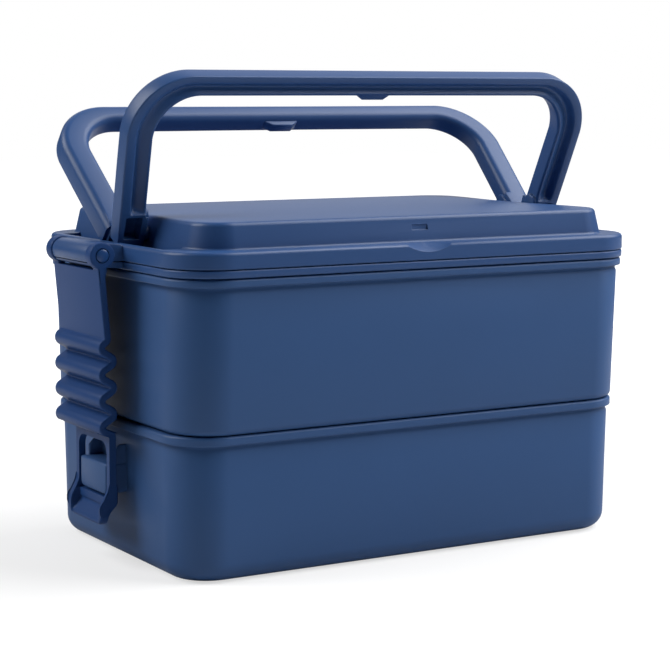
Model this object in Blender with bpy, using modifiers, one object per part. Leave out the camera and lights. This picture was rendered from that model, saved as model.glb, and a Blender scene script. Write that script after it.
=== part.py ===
"""Two-tier lunch box: two stacked tubs, a stepped lid, two bail handles and two corrugated end straps.

The origin is on the floor under the middle of the box. X runs along the box, Y across it, Z up.
Sizes are in metres. A plan is a rounded rectangle: half length, half depth and corner radius.
"""
import math

import bmesh
import bpy
from mathutils import Matrix, Vector

mm = 0.001

# Plans of the moulded outlines
lid_plan = (102.0 * mm, 68.3 * mm, 20.3 * mm)
upper_mouth_plan = (100.2 * mm, 66.2 * mm, 19.0 * mm)
upper_foot_plan = (99.8 * mm, 63.6 * mm, 18.5 * mm)
lower_mouth_plan = (99.3 * mm, 61.5 * mm, 18.0 * mm)
lower_foot_plan = (98.5 * mm, 60.5 * mm, 17.5 * mm)
plateau_plan = (92.0 * mm, 61.9 * mm, 14.0 * mm)

# Heights above the floor
tier_joint_z = 54.2 * mm
lid_joint_z = 111.2 * mm
band_height = 3.2 * mm
skirt_height = 6.4 * mm
plateau_rise = 10.0 * mm

# Mouldings
wall = 2.1 * mm
floor_thickness = 2.4 * mm
fit_gap = 0.3 * mm
bead_height = 3.7 * mm
upper_bead_reach = 1.4 * mm
lower_bead_reach = 1.1 * mm
bead_radius = 0.9 * mm
upper_foot_radius = 2.4 * mm
lower_foot_radius = 7.0 * mm
skirt_radius = 1.6 * mm
band_radius = 0.7 * mm
plug_depth = 4.6 * mm
seal_thickness = 1.8 * mm
seal_height = 2.8 * mm

# Plateau of the lid, the troughs at its ends and the marks on its long sides
plateau_draft = 1.6 * mm
plateau_radius = 2.0 * mm
plateau_waist = 4.0 * mm
plateau_crown = 1.1 * mm
cover_web = 1.8 * mm
trough_rim = 2.4 * mm
trough_half_length = 46.0 * mm
slot_length = 7.2 * mm
slot_height = 2.1 * mm
slot_depth = 1.2 * mm
slot_drop = 4.4 * mm
scoop_length = 24.0 * mm
scoop_drop = 3.2 * mm

# Handles: s is the distance from the pivot, t the thickness side that is uppermost when folded
handle_gap = 1.0 * mm
ledge_gap = 1.0 * mm
handle_reach = 64.5 * mm
handle_thickness = 9.0 * mm
handle_offset = 2.5 * mm
leg_gap = 0.4 * mm
leg_width = 10.2 * mm
grip_width = 7.4 * mm
handle_outer_radius = 27.0 * mm
handle_inner_radius = 17.0 * mm
handle_edge_radius = 2.2 * mm
heel_tail = 5.2 * mm
groove_rim = 1.6 * mm
groove_depth = 3.2 * mm
groove_start = 8.0 * mm
groove_run_out = 4.5 * mm
pocket_height = 7.0 * mm
pocket_depth = 5.5 * mm
pocket_bar = 1.8 * mm
pocket_rim = 1.7 * mm
heel_wall = 0.6 * mm
trunnion_radius = 2.6 * mm
collar_radius = 4.2 * mm
nub_length = 16.0 * mm
nub_tip_length = 9.5 * mm
nub_thickness = 4.0 * mm
front_lean = math.radians(22.0)
back_lean = math.radians(48.0)

# Strap hinge at each end of the lid
hinge_reach = 10.3 * mm
hinge_rise = 2.9 * mm
knuckle_radius = 4.5 * mm
eye_radius = 4.9 * mm
eye_width = 5.0 * mm
pin_radius = 1.6 * mm
pin_head_radius = 2.45 * mm
pin_head_length = 2.0 * mm
pin_dome = 0.7 * mm
bore_gap = 0.3 * mm
tongue_half_width = 13.5 * mm
tongue_drop = 4.7 * mm
tongue_thickness = 1.2 * mm

# Strap: a band of one thickness folded into ridges, then a windowed buckle with a thumb tab
strap_half_width = 20.4 * mm
strap_thickness = 2.4 * mm
panel_drop = 6.0 * mm
panel_length = 26.2 * mm
panel_lean = 2.4 * mm
ridge_count = 4
ridge_pitch = 9.9 * mm
ridge_depth = 4.6 * mm
ridge_face = 2.2 * mm
ridge_fillet = 1.9 * mm
buckle_step = 5.6 * mm
buckle_half_width = 15.5 * mm
window_half_width = 12.9 * mm
window_height = 19.4 * mm
window_radius = 4.5 * mm
tab_drop = 8.6 * mm
tab_flare = 2.6 * mm
tab_shoulder = 4.2 * mm

# Catch block and webs on each end of the lower tub
catch_half_width = 11.8 * mm
catch_height = 11.7 * mm
catch_foot_z = 26.3 * mm
catch_gap = 0.8 * mm
catch_edge = 1.2 * mm
web_thickness = 1.5 * mm
web_rise = 7.0 * mm

# Fineness of the curved faces
corner_steps = 8
end_steps = 8
fillet_steps = 4
round_steps = 24

lid_colour = (0.045, 0.085, 0.200)
tub_colour = (0.045, 0.085, 0.200)
seal_colour = (0.055, 0.095, 0.190)
pin_colour = (0.040, 0.075, 0.180)


def start_collections():
    """Clear the scene and make one collection for the parts and one for the cutters."""
    for old in list(bpy.data.objects):
        bpy.data.objects.remove(old, do_unlink=True)
    found = {}
    for name in ("lunch_box", "cutters"):
        found[name] = bpy.data.collections.new(name)
        bpy.context.scene.collection.children.link(found[name])
    return found


groups = start_collections()


def plastic(name, colour, roughness):
    """Moulded plastic of one colour."""
    material = bpy.data.materials.new(name)
    material.use_nodes = True
    shader = material.node_tree.nodes["Principled BSDF"]
    shader.inputs["Base Color"].default_value = (*colour, 1.0)
    shader.inputs["Roughness"].default_value = roughness
    shader.inputs["Metallic"].default_value = 0.0
    material.diffuse_color = (*colour, 1.0)
    return material


def add_part(name, mesh, material, location=(0, 0, 0), rotation=(0, 0, 0)):
    """Place a finished mesh as a named part."""
    item = bpy.data.objects.new(name, mesh)
    groups["lunch_box"].objects.link(item)
    item.location = location
    item.rotation_euler = rotation
    if material.name not in mesh.materials:
        mesh.materials.append(material)
    mesh.shade_smooth()
    mesh.set_sharp_from_angle(angle=math.radians(32))
    return item


def add_cutter(name, mesh):
    """Place a mesh that only cuts or joins."""
    item = bpy.data.objects.new(name, mesh)
    groups["cutters"].objects.link(item)
    item.hide_render = True
    item.display_type = 'WIRE'
    return item


def as_mesh(name, bm):
    """Close a bmesh into a mesh whose faces point out."""
    bmesh.ops.recalc_face_normals(bm, faces=bm.faces)
    mesh = bpy.data.meshes.new(name)
    bm.to_mesh(mesh)
    bm.free()
    return mesh


def combine(name, mesh, steps):
    """Join or cut a mesh with others: steps is a list of (operation, mesh)."""
    item = add_cutter(name, mesh)
    tools = []
    for number, (operation, other) in enumerate(steps):
        tool = add_cutter(f"{name}_tool_{number}", other)
        modifier = item.modifiers.new(tool.name, 'BOOLEAN')
        modifier.operation = operation
        modifier.solver = 'EXACT'
        modifier.object = tool
        tools.append(tool)
    bpy.context.view_layer.update()
    shown = item.evaluated_get(bpy.context.evaluated_depsgraph_get())
    result = bpy.data.meshes.new_from_object(shown)
    result.name = name
    for used in [item, *tools]:
        bpy.data.objects.remove(used, do_unlink=True)
    return result


def inset(plan, distance):
    """Plan drawn in by a distance all round."""
    return tuple(size - distance for size in plan)


def ring(plan, z, waist=None):
    """Rounded rectangle at height z; a waist draws the two ends in at their middle."""
    half_x, half_y, corner = plan
    points = []
    for turn, (side_x, side_y) in enumerate(((1, 1), (-1, 1), (-1, -1), (1, -1))):
        centre = Vector((side_x * (half_x - corner), side_y * (half_y - corner), z))
        for step in range(corner_steps + 1):
            angle = math.radians(90) * (turn + step / corner_steps)
            points.append(centre + corner * Vector((math.cos(angle), math.sin(angle), 0)))
        if turn % 2 and waist is not None:
            for step in range(1, end_steps):
                share = 2 * step / end_steps - 1
                bow = waist * (0.5 + 0.5 * math.cos(math.pi * share))
                across = -side_y * share * (half_y - corner)
                points.append(Vector((side_x * (half_x - bow), across, z)))
    return points


def loft(name, rings, closed=False):
    """Skin a list of rings; the first and last are capped, or joined where the loft is closed."""
    bm = bmesh.new()
    loops = [[bm.verts.new(point) for point in points] for points in rings]
    pairs = list(zip(loops, loops[1:]))
    if closed:
        pairs.append((loops[-1], loops[0]))
    for low, high in pairs:
        for here in range(len(low)):
            after = (here + 1) % len(low)
            bm.faces.new((low[here], low[after], high[after], high[here]))
    if not closed:
        bm.faces.new(loops[0])
        bm.faces.new(loops[-1])
    return as_mesh(name, bm)


def arc(centre, radius, start, end, steps=fillet_steps):
    """Points along a circle, from angle start to angle end in degrees."""
    found = []
    for step in range(steps + 1):
        angle = math.radians(start + (end - start) * step / steps)
        found.append((centre[0] + radius * math.cos(angle), centre[1] + radius * math.sin(angle)))
    return found


def fillet(points, radius, steps=fillet_steps):
    """Open path of flat points with its inner corners rounded."""
    path = [Vector(points[0])]
    for before, here, after in zip(points, points[1:], points[2:]):
        here = Vector(here)
        back, onward = Vector(before) - here, Vector(after) - here
        half = back.angle(onward) / 2
        used = min(radius / math.tan(half), 0.48 * back.length, 0.48 * onward.length)
        back.normalize()
        onward.normalize()
        centre = here + (back + onward).normalized() * used / math.cos(half)
        first, last = here + back * used - centre, here + onward * used - centre
        turn = first.angle_signed(last)
        for step in range(steps + 1):
            path.append(centre + Matrix.Rotation(-turn * step / steps, 2) @ first)
    path.append(Vector(points[-1]))
    return path


def thicken(path, thickness):
    """Closed outline of a band that follows a flat path."""
    left, right = [], []
    for number, here in enumerate(path):
        before = path[max(number - 1, 0)]
        after = path[min(number + 1, len(path) - 1)]
        along = (after - before).normalized()
        across = Vector((-along.y, along.x)) * thickness / 2
        left.append(here + across)
        right.append(here - across)
    return left + right[::-1]


side_on = Matrix(((1, 0, 0, 0), (0, 0, -1, 0), (0, 1, 0, 0), (0, 0, 0, 1)))
end_on = Matrix(((0, 0, 1, 0), (1, 0, 0, 0), (0, 1, 0, 0), (0, 0, 0, 1)))


def flat_solid(name, outline, low, high, turn=side_on):
    """Extrude a flat outline from low to high.

    side_on takes the outline as (X, Z) and extrudes along Y; end_on takes (Y, Z) and runs along X.
    """
    curve = bpy.data.curves.new(name, 'CURVE')
    curve.dimensions = '2D'
    curve.fill_mode = 'BOTH'
    curve.extrude = (high - low) / 2
    spline = curve.splines.new('POLY')
    spline.points.add(len(outline) - 1)
    for point, (across, up) in zip(spline.points, outline):
        point.co = (across, up, 0, 1)
    spline.use_cyclic_u = True
    item = add_cutter(name, curve)
    bpy.context.view_layer.update()
    shown = item.evaluated_get(bpy.context.evaluated_depsgraph_get())
    mesh = bpy.data.meshes.new_from_object(shown)
    bpy.data.objects.remove(item, do_unlink=True)
    middle = (low + high) / 2
    shift = Matrix.Translation((0, 0, -middle if turn == side_on else middle))
    bm = bmesh.new()
    bm.from_mesh(mesh)
    bmesh.ops.remove_doubles(bm, verts=bm.verts, dist=0.001 * mm)
    bmesh.ops.transform(bm, matrix=turn @ shift, verts=bm.verts)
    return as_mesh(name, bm)


def rod(name, axis, radius, low, high, centre, steps=round_steps):
    """Cylinder along 'X' or 'Y' from low to high, through a centre point."""
    bm = bmesh.new()
    bmesh.ops.create_cone(bm, cap_ends=True, segments=steps, radius1=radius, radius2=radius,
                          depth=high - low)
    turn = Matrix.Rotation(math.radians(90), 4, 'Y' if axis == 'X' else 'X')
    place = Vector(centre)
    place['XY'.index(axis)] = (low + high) / 2
    bmesh.ops.transform(bm, matrix=Matrix.Translation(place) @ turn, verts=bm.verts)
    return as_mesh(name, bm)


def block(name, low, high):
    """Box between two opposite corners."""
    bm = bmesh.new()
    bmesh.ops.create_cube(bm, size=1.0)
    low, high = Vector(low), Vector(high)
    size = Matrix.Diagonal((*(high - low), 1))
    bmesh.ops.transform(bm, matrix=Matrix.Translation((low + high) / 2) @ size, verts=bm.verts)
    return as_mesh(name, bm)


def turned_half(mesh):
    """Copy of a mesh turned half a turn about Z, for the other end or side of the box."""
    other = mesh.copy()
    other.transform(Matrix.Rotation(math.pi, 4, 'Z'))
    return other


# Heights and plans that follow from the sizes above
skirt_foot_z = lid_joint_z + band_height
ledge_z = skirt_foot_z + skirt_height
plateau_z = ledge_z + plateau_rise
seam_half = fit_gap / 2
handle_half_width = plateau_plan[0] + leg_gap + leg_width
upper_inner = inset(upper_mouth_plan, wall)
lower_inner = inset(lower_mouth_plan, wall)
lid_plug_plan = inset(upper_inner, seal_thickness + 2 * fit_gap)
tier_plug_plan = inset(lower_inner, seal_thickness + 2 * fit_gap)
handle_low = handle_offset - handle_thickness / 2
handle_high = handle_offset + handle_thickness / 2
pivot_y = handle_high + handle_gap / 2
pivot_z = ledge_z + ledge_gap - handle_low
leg_tail = math.sqrt((pivot_z - ledge_z - fit_gap) ** 2 - handle_low ** 2)
trough_z = pivot_z - math.hypot(heel_tail, handle_low) - fit_gap
pin_x = lid_plan[0] + hinge_reach
pin_z = skirt_foot_z + hinge_rise
eye_inner_y = strap_half_width - eye_width
knuckle_half = eye_inner_y - fit_gap
window_foot_z = catch_foot_z - catch_gap


def bead_rings(plan, top_z, reach):
    """Rings up the outside of a rim bead and over its top to the wall's inner face."""
    foot_z = top_z - bead_height
    return [ring(plan, foot_z - 0.6 * reach),
            ring(inset(plan, -0.7 * reach), foot_z),
            ring(inset(plan, -reach), foot_z + bead_radius),
            ring(inset(plan, -reach), top_z - bead_radius),
            ring(inset(plan, 0.3 * bead_radius - reach), top_z - 0.3 * bead_radius),
            ring(inset(plan, bead_radius - reach), top_z)]


def foot_rings(plan, z, radius):
    """Rings from the flat underside round the edge to the wall."""
    return [ring(inset(plan, radius - across), z + radius + up)
            for across, up in arc((0, 0), radius, -90, 0)]


def make_lower_tub():
    """Open tub with a rim bead, a round foot, and a catch with webs at each end."""
    top = tier_joint_z - seam_half
    rings = foot_rings(lower_foot_plan, 0, lower_foot_radius)
    rings += bead_rings(lower_mouth_plan, top, lower_bead_reach)
    inner_foot = inset(lower_foot_plan, wall)
    inner_radius = lower_foot_radius - wall / 2
    rings.append(ring(lower_inner, top))
    inner = foot_rings(inner_foot, floor_thickness, inner_radius)
    rings += inner[::-1]
    tub = loft("lower_tub", rings)
    steps = []
    for piece in catch_pieces():
        steps += [('UNION', piece), ('UNION', turned_half(piece))]
    return combine("lower_tub", tub, steps)


def buckle_inner_x():
    """Inner face of the buckle, measured from the middle of the box."""
    return strap_face_x() - strap_thickness


def strap_face_x():
    """Outer face of the buckle: the strap's ridges less the step in to the buckle."""
    return ridge_line_x() + strap_thickness / 2 - buckle_step


def ridge_line_x():
    """Middle of the band at the crest of a ridge."""
    return pin_x + 0.4 * mm


def catch_pieces():
    """Catch block that fills the strap's window, and the two webs that rise above it."""
    face = strap_face_x() - 0.1 * mm
    root = lower_foot_plan[0] - wall / 2
    top = catch_foot_z + catch_height
    outline = [(root, catch_foot_z), (face - catch_edge, catch_foot_z),
               (face, catch_foot_z + catch_edge), (face, top - 0.5 * mm),
               (face - 0.5 * mm, top), (root, top)]
    catch = flat_solid("catch", outline, -catch_half_width, catch_half_width)
    web_face = buckle_inner_x() - 0.4 * mm
    web_outline = [(root, catch_foot_z), (web_face, catch_foot_z), (web_face, top + web_rise - 3 * mm),
                   (web_face - 3 * mm, top + web_rise), (root, top + web_rise)]
    pieces = [catch]
    for side in (-1, 1):
        middle = side * catch_half_width
        pieces.append(flat_solid("web", web_outline, middle - web_thickness / 2,
                                 middle + web_thickness / 2))
    return pieces


def make_upper_tub():
    """Open tub whose floor is a plug that seats in the mouth of the lower tub."""
    top = lid_joint_z - seam_half
    foot = tier_joint_z + seam_half
    plug_foot = foot - plug_depth
    rings = foot_rings(tier_plug_plan, plug_foot, bead_radius)
    rings.append(ring(tier_plug_plan, foot))
    rings += foot_rings(upper_foot_plan, foot, upper_foot_radius)
    rings += bead_rings(upper_mouth_plan, top, upper_bead_reach)
    rings.append(ring(upper_inner, top))
    inner_foot = inset(tier_plug_plan, wall)
    rings.append(ring(inset(upper_foot_plan, wall), foot + upper_foot_radius + wall))
    rings.append(ring(inner_foot, foot + wall))
    rings += foot_rings(inner_foot, plug_foot + floor_thickness, bead_radius)[::-1]
    return loft("upper_tub", rings)


def make_seal(name, plug_plan, joint_z):
    """Soft ring that fills the gap between a plug and the wall it seats in."""
    inner = inset(plug_plan, -fit_gap)
    outer = inset(inner, -seal_thickness)
    middle = inset(inner, -0.35 * seal_thickness)
    top = joint_z - 1.0 * mm
    foot = top - seal_height
    rings = [ring(inner, foot + 0.4 * mm), ring(middle, foot), ring(outer, foot + 0.6 * mm),
             ring(outer, foot + 1.1 * mm), ring(middle, foot + 1.4 * mm),
             ring(outer, foot + 1.7 * mm), ring(outer, top - 0.6 * mm), ring(middle, top),
             ring(inner, top - 0.4 * mm)]
    return loft(name, rings, closed=True)


def make_lid_frame():
    """Band under the cover, with the plug and floor of the lid and the lower half of each knuckle."""
    foot = lid_joint_z + seam_half
    top = skirt_foot_z - seam_half
    band = inset(lid_plan, 0.1 * mm)
    plug_foot = foot - plug_depth
    rings = foot_rings(lid_plug_plan, plug_foot, bead_radius)
    rings.append(ring(lid_plug_plan, foot))
    rings += foot_rings(band, foot, band_radius)
    rings += [ring(inset(band, band_radius - across), top - band_radius + up)
              for across, up in arc((0, 0), band_radius, 0, 90)]
    step = inset(lid_plan, wall + fit_gap)
    rings += [ring(step, top), ring(step, top + 1.0 * mm), ring(inset(step, wall), top + 1.0 * mm)]
    rings += [ring(inset(lid_plug_plan, wall), foot), ring(inset(lid_plug_plan, wall), plug_foot + wall)]
    frame = loft("lid_frame", rings)
    root = lid_plan[0] - 2.2 * mm
    lip = [(root, top)] + lower_knuckle_arc(top)
    lip += [(pin_x - 3.0 * mm, pin_z - knuckle_radius + 0.3 * mm), (root, foot + 0.3 * mm)]
    tongue_x = ridge_line_x() - strap_thickness / 2 - 0.5 * mm
    tongue_top = pin_z - knuckle_radius + 1.0 * mm
    tongue_foot = tongue_top - tongue_drop
    tongue = [(tongue_x, tongue_top), (tongue_x, tongue_foot), (tongue_x - tongue_thickness, tongue_foot),
              (tongue_x - 1.8 * tongue_thickness, tongue_top)]
    lip = flat_solid("lip", lip, -knuckle_half, knuckle_half)
    tongue = flat_solid("tongue", tongue, -tongue_half_width, tongue_half_width)
    return combine("lid_frame", frame, [('UNION', lip), ('UNION', turned_half(lip)),
                                        ('UNION', tongue), ('UNION', turned_half(tongue))])


def lower_knuckle_arc(cut_z):
    """Part of the knuckle's round below a cut height, from the outside to its lowest point."""
    start = -math.degrees(math.asin((pin_z - cut_z) / knuckle_radius))
    return arc((pin_x, pin_z), knuckle_radius, start, -95, 6)


def make_lid_cover():
    """Skirt, ledge and plateau in one shell, with troughs, slots, scoops and knuckles."""
    foot = skirt_foot_z + seam_half
    top_plan = inset(plateau_plan, plateau_draft)
    waist = plateau_waist
    rings = [ring(lid_plan, foot, 0)]
    rings += [ring(inset(lid_plan, skirt_radius - across), ledge_z - skirt_radius + up, 0)
              for across, up in arc((0, 0), skirt_radius, 0, 90)]
    rings += [ring(inset(plateau_plan, -0.8 * mm), ledge_z, waist),
              ring(inset(plateau_plan, -0.2 * mm), ledge_z + 0.3 * mm, waist),
              ring(plateau_plan, ledge_z + 1.0 * mm, waist)]
    rings += [ring(inset(top_plan, plateau_radius - across), plateau_z - plateau_radius + up, waist)
              for across, up in arc((0, 0), plateau_radius, 5, 85)]
    for share in (0.15, 0.4, 0.7):
        rise = plateau_crown * (1 - (1 - share) ** 2)
        middle = inset(top_plan, plateau_radius + share * (top_plan[1] - 2 * plateau_radius) * 0.8)
        corner = max(top_plan[2] * (1 - 0.6 * share), 4 * mm)
        rings.append(ring((middle[0], middle[1], corner), plateau_z + rise, waist * (1 - share)))
    inside = [ring(inset(lid_plan, wall), foot, 0),
              ring(inset(lid_plan, wall), trough_z - cover_web, 0),
              ring(inset(plateau_plan, wall), trough_z - cover_web, waist),
              ring(inset(top_plan, wall), plateau_z - wall - 1.0 * mm, waist),
              ring(inset(top_plan, wall + 1.0 * mm), plateau_z - wall, waist)]
    cover = loft("lid_cover", inside[::-1] + rings)
    steps = []
    for tool in cover_tools():
        steps += [tool, (tool[0], turned_half(tool[1]))]
    return combine("lid_cover", cover, steps)


def cover_tools():
    """What joins and cuts the cover at one end and one long side."""
    foot = skirt_foot_z + seam_half
    root = lid_plan[0] - 1.5 * mm
    start = -math.degrees(math.asin((pin_z - foot) / knuckle_radius))
    shoulder = [(root, foot)] + arc((pin_x, pin_z), knuckle_radius, start, 90, 14)
    shoulder += [(root + 2.5 * mm, ledge_z + 0.1 * mm), (root, ledge_z - 1.0 * mm)]
    yield 'UNION', flat_solid("shoulder", shoulder, -knuckle_half, knuckle_half)
    yield 'DIFFERENCE', rod("pin_bore", 'Y', pin_radius + bore_gap, -knuckle_half - 1 * mm,
                            knuckle_half + 1 * mm, (pin_x, 0, pin_z))
    yield 'DIFFERENCE', make_trough()
    for side in (-1, 1):
        yield 'DIFFERENCE', rod("trunnion_bore", 'X', trunnion_radius + bore_gap,
                                trunnion_tip_x() - 4 * mm, plateau_plan[0] + 0.3 * mm,
                                (0, side * pivot_y, pivot_z))
    yield 'DIFFERENCE', make_slot()
    yield 'DIFFERENCE', make_scoop()


def plateau_wall_x(y, z):
    """Outer face of the plateau's end wall at a distance y from the middle."""
    share = (z - ledge_z) / plateau_rise
    span = plateau_plan[1] - plateau_plan[2]
    bow = plateau_waist * (0.5 + 0.5 * math.cos(math.pi * y / span))
    return plateau_plan[0] - plateau_draft * share - bow


def plateau_wall_y(z):
    """Outer face of the plateau's long wall."""
    return plateau_plan[1] - plateau_draft * (z - ledge_z) / plateau_rise


def trunnion_tip_x():
    return plateau_wall_x(pivot_y, pivot_z) - wall - 1.0 * mm


def make_trough():
    """Recess between the plateau's end wall and the rim, where the handle legs turn."""
    outer = inset(lid_plan, trough_rim)
    high = ledge_z + 3 * mm
    slab = block("trough", (plateau_plan[0] - 20 * mm, -trough_half_length, trough_z),
                 (lid_plan[0] + 5 * mm, trough_half_length, high))
    pocket = loft("trough_outline", [ring(outer, trough_z), ring(outer, high)])
    wall_face = inset(plateau_plan, -0.05 * mm)
    keep = loft("plateau_keep", [ring(wall_face, trough_z - 1 * mm, plateau_waist),
                                 ring(wall_face, high + 1 * mm, plateau_waist)])
    return combine("trough", slab, [('INTERSECT', pocket), ('DIFFERENCE', keep)])


def make_slot():
    """Shallow slot in the plateau's front wall, beside the nub of the folded handle."""
    middle = plateau_z - slot_drop
    face = plateau_wall_y(middle)
    return block("slot", (-slot_length / 2, -face - 2 * mm, middle - slot_height / 2),
                 (slot_length / 2, -face + slot_depth, middle + slot_height / 2))


def make_scoop():
    """Finger scoop in the skirt's top edge: a drum that climbs to the foot of the plateau."""
    radius = ((scoop_length / 2) ** 2 + scoop_drop ** 2) / (2 * scoop_drop)
    run = lid_plan[1] - plateau_plan[1] - 1.0 * mm
    climb = math.atan2(scoop_drop, run)
    drum = rod("scoop", 'Y', radius, -2 * run, math.hypot(run, scoop_drop), (0, 0, radius), 72)
    drum.transform(Matrix.Rotation(climb, 4, 'X'))
    drum.transform(Matrix.Translation((0, -lid_plan[1], ledge_z - scoop_drop)))
    return drum


def handle_section(inner, outer, groove):
    """Section of a handle between its inner and outer edge; groove is the depth of its channel."""
    across = outer - inner
    width = across.length
    across.normalize()
    low, high = handle_low, handle_high
    radius = handle_edge_radius
    rim = 0.5 * mm
    flat = [(0, low + rim), (0, high - radius)]
    flat += arc((radius, high - radius), radius, 180, 90)[1:]
    flat += [(width / 2, high + 0.25 * mm)]
    flat += arc((width - radius, high - radius), radius, 90, 0)
    flat += [(width, low + rim), (width - rim, low)]
    half = width / 2 - groove_rim
    for step in range(9):
        angle = math.pi * step / 8
        flat.append((width / 2 + half * math.cos(angle), low + groove * math.sin(angle) ** 0.8))
    flat.append((rim, low))
    return [Vector((inner.x + across.x * n, t, inner.y + across.y * n)) for n, t in flat]


def handle_stations():
    """Inner and outer edge points and channel depth, from the leg's end to the middle of the grip."""
    leg_outer = handle_half_width
    leg_inner = handle_half_width - leg_width
    grip_outer = handle_reach
    grip_inner = handle_reach - grip_width
    outer_centre = Vector((leg_outer - handle_outer_radius, grip_outer - handle_outer_radius))
    inner_centre = Vector((leg_inner - handle_inner_radius, grip_inner - handle_inner_radius))
    deep = groove_start + groove_run_out
    legs = [(-leg_tail, 0.0), (groove_start, 0.0), (groove_start + 0.15 * groove_run_out, 0.45),
            (groove_start + 0.45 * groove_run_out, 0.8), (deep, 1.0)]
    found = [(Vector((leg_inner, s)), Vector((leg_outer, s)), groove_depth * share)
             for s, share in legs]
    for step in range(corner_steps + 1):
        angle = math.radians(90) * step / corner_steps
        spoke = Vector((math.cos(angle), math.sin(angle)))
        found.append((inner_centre + handle_inner_radius * spoke,
                      outer_centre + handle_outer_radius * spoke, groove_depth))
    found.append((Vector((0, grip_inner)), Vector((0, grip_outer)), groove_depth))
    return found


def make_handle():
    """Channel-section bail: half of it is lofted along its path and mirrored."""
    bm = bmesh.new()
    loops = [[bm.verts.new(point) for point in handle_section(*station)]
             for station in handle_stations()]
    for low, high in zip(loops, loops[1:]):
        for here in range(len(low)):
            after = (here + 1) % len(low)
            bm.faces.new((low[here], low[after], high[after], high[here]))
    bm.faces.new(loops[0])
    half = add_cutter("handle_half", as_mesh("handle_half", bm))
    mirror = half.modifiers.new("other_leg", 'MIRROR')
    mirror.use_axis = (True, False, False)
    mirror.use_clip = True
    mirror.merge_threshold = 0.01 * mm
    bpy.context.view_layer.update()
    shown = half.evaluated_get(bpy.context.evaluated_depsgraph_get())
    bail = bpy.data.meshes.new_from_object(shown)
    bpy.data.objects.remove(half, do_unlink=True)
    steps = []
    for operation, tool in leg_tools():
        mirrored = tool.copy()
        mirrored.transform(Matrix.Diagonal((-1, 1, 1, 1)))
        mirrored.flip_normals()
        steps += [(operation, tool), (operation, mirrored)]
    steps.append(('UNION', make_nub()))
    return combine("handle", bail, steps)


def leg_tools():
    """Heel, pocket, collar and trunnion of one leg, in the handle's own frame."""
    inner = handle_half_width - leg_width
    heel_outer = lid_plan[0] - trough_rim - fit_gap
    low, high = handle_low, handle_high
    heel = [(low, groove_start - 1 * mm), (low, -heel_tail + 0.8 * mm), (low + 0.8 * mm, -heel_tail)]
    reach = math.degrees(math.asin(heel_tail / high))
    heel += arc((0, 0), high - 0.02 * mm, -reach, 0, 6)
    heel += [(high - 0.02 * mm, groove_start - 1 * mm)]
    yield 'UNION', flat_solid("heel", heel, inner + 0.02 * mm, heel_outer, end_on)
    pocket_top = groove_start - pocket_bar
    yield 'DIFFERENCE', block("pocket", (inner + pocket_rim, low - 1 * mm, pocket_top - pocket_height),
                              (heel_outer - heel_wall, low + pocket_depth, pocket_top))
    collar_x = plateau_wall_x(pivot_y + collar_radius, pivot_z - collar_radius) + fit_gap
    yield 'UNION', rod("collar", 'X', collar_radius, collar_x, inner + 0.4 * mm, (0, 0, 0))
    yield 'UNION', rod("trunnion", 'X', trunnion_radius, trunnion_tip_x(), inner + 0.5 * mm, (0, 0, 0))


def make_nub():
    """Trapezoid catch under the grip, which stops just short of the plateau's wall when folded."""
    grip_inner = handle_reach - grip_width
    slot_z = plateau_z - slot_drop
    tip = plateau_wall_y(slot_z) + fit_gap - pivot_y
    root = grip_inner + 1 * mm
    outline = [(-nub_length / 2, root), (-nub_length / 2, grip_inner), (-nub_tip_length / 2, tip),
               (nub_tip_length / 2, tip), (nub_length / 2, grip_inner), (nub_length / 2, root)]
    middle = slot_z - pivot_z
    return flat_solid("nub", outline, middle - nub_thickness / 2, middle + nub_thickness / 2)


def strap_path():
    """Middle line of the band, from the panel's top to the buckle's foot, as (X, Z) from the pin."""
    crest = ridge_line_x() - pin_x
    trough = crest - ridge_depth
    buckle = crest - buckle_step
    panel_top = -panel_drop
    panel_foot = panel_top - panel_length
    points = [(crest, panel_top), (crest - panel_lean, panel_foot)]
    first = panel_foot - 2.6 * mm
    for number in range(ridge_count):
        middle = first - number * ridge_pitch
        points += [(crest, middle + ridge_face / 2), (crest, middle - ridge_face / 2)]
        if number < ridge_count - 1:
            low = middle - ridge_pitch / 2
            points += [(trough, low + ridge_face / 2), (trough, low - ridge_face / 2)]
    last = first - (ridge_count - 1) * ridge_pitch
    points += [(buckle, last - ridge_face / 2 - 2.6 * mm), (buckle, tab_foot_z() - pin_z + 2.0 * mm)]
    return fillet(points, ridge_fillet)


def tab_foot_z():
    return window_foot_z - tab_drop


def make_strap():
    """Band, eyes, buckle, window and thumb tab of one strap, about its pin."""
    band = flat_solid("band", thicken(strap_path(), strap_thickness), -strap_half_width,
                      strap_half_width)
    crest = ridge_line_x() - pin_x
    last_ridge = -panel_drop - panel_length - 2.6 * mm - (ridge_count - 1) * ridge_pitch
    shoulder_z = last_ridge - 2.2 * mm
    low_x = crest - buckle_step - 6 * mm
    steps = []
    for side in (-1, 1):
        inner, outer = sorted((side * buckle_half_width, side * (strap_half_width + 2 * mm)))
        steps.append(('DIFFERENCE', block("side_cut", (low_x, inner, tab_foot_z() - pin_z - 5 * mm),
                                          (crest + 8 * mm, outer, shoulder_z))))
    steps.append(('UNION', make_tab()))
    steps.append(('DIFFERENCE', make_tab_scoop()))
    steps.append(('DIFFERENCE', make_window()))
    for side in (-1, 1):
        low, high = sorted((side * eye_inner_y, side * strap_half_width))
        steps.append(('UNION', flat_solid("eye", eye_outline(), low, high)))
    span = strap_half_width + 1 * mm
    steps.append(('DIFFERENCE', rod("eye_bore", 'Y', pin_radius + bore_gap, -span, span, (0, 0, 0))))
    for side in (-1, 1):
        low, high = sorted((side * (strap_half_width - pin_head_length), side * span))
        steps.append(('DIFFERENCE', rod("counterbore", 'Y', pin_head_radius + bore_gap, low, high,
                                        (0, 0, 0))))
    return combine("strap", band, steps)


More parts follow.
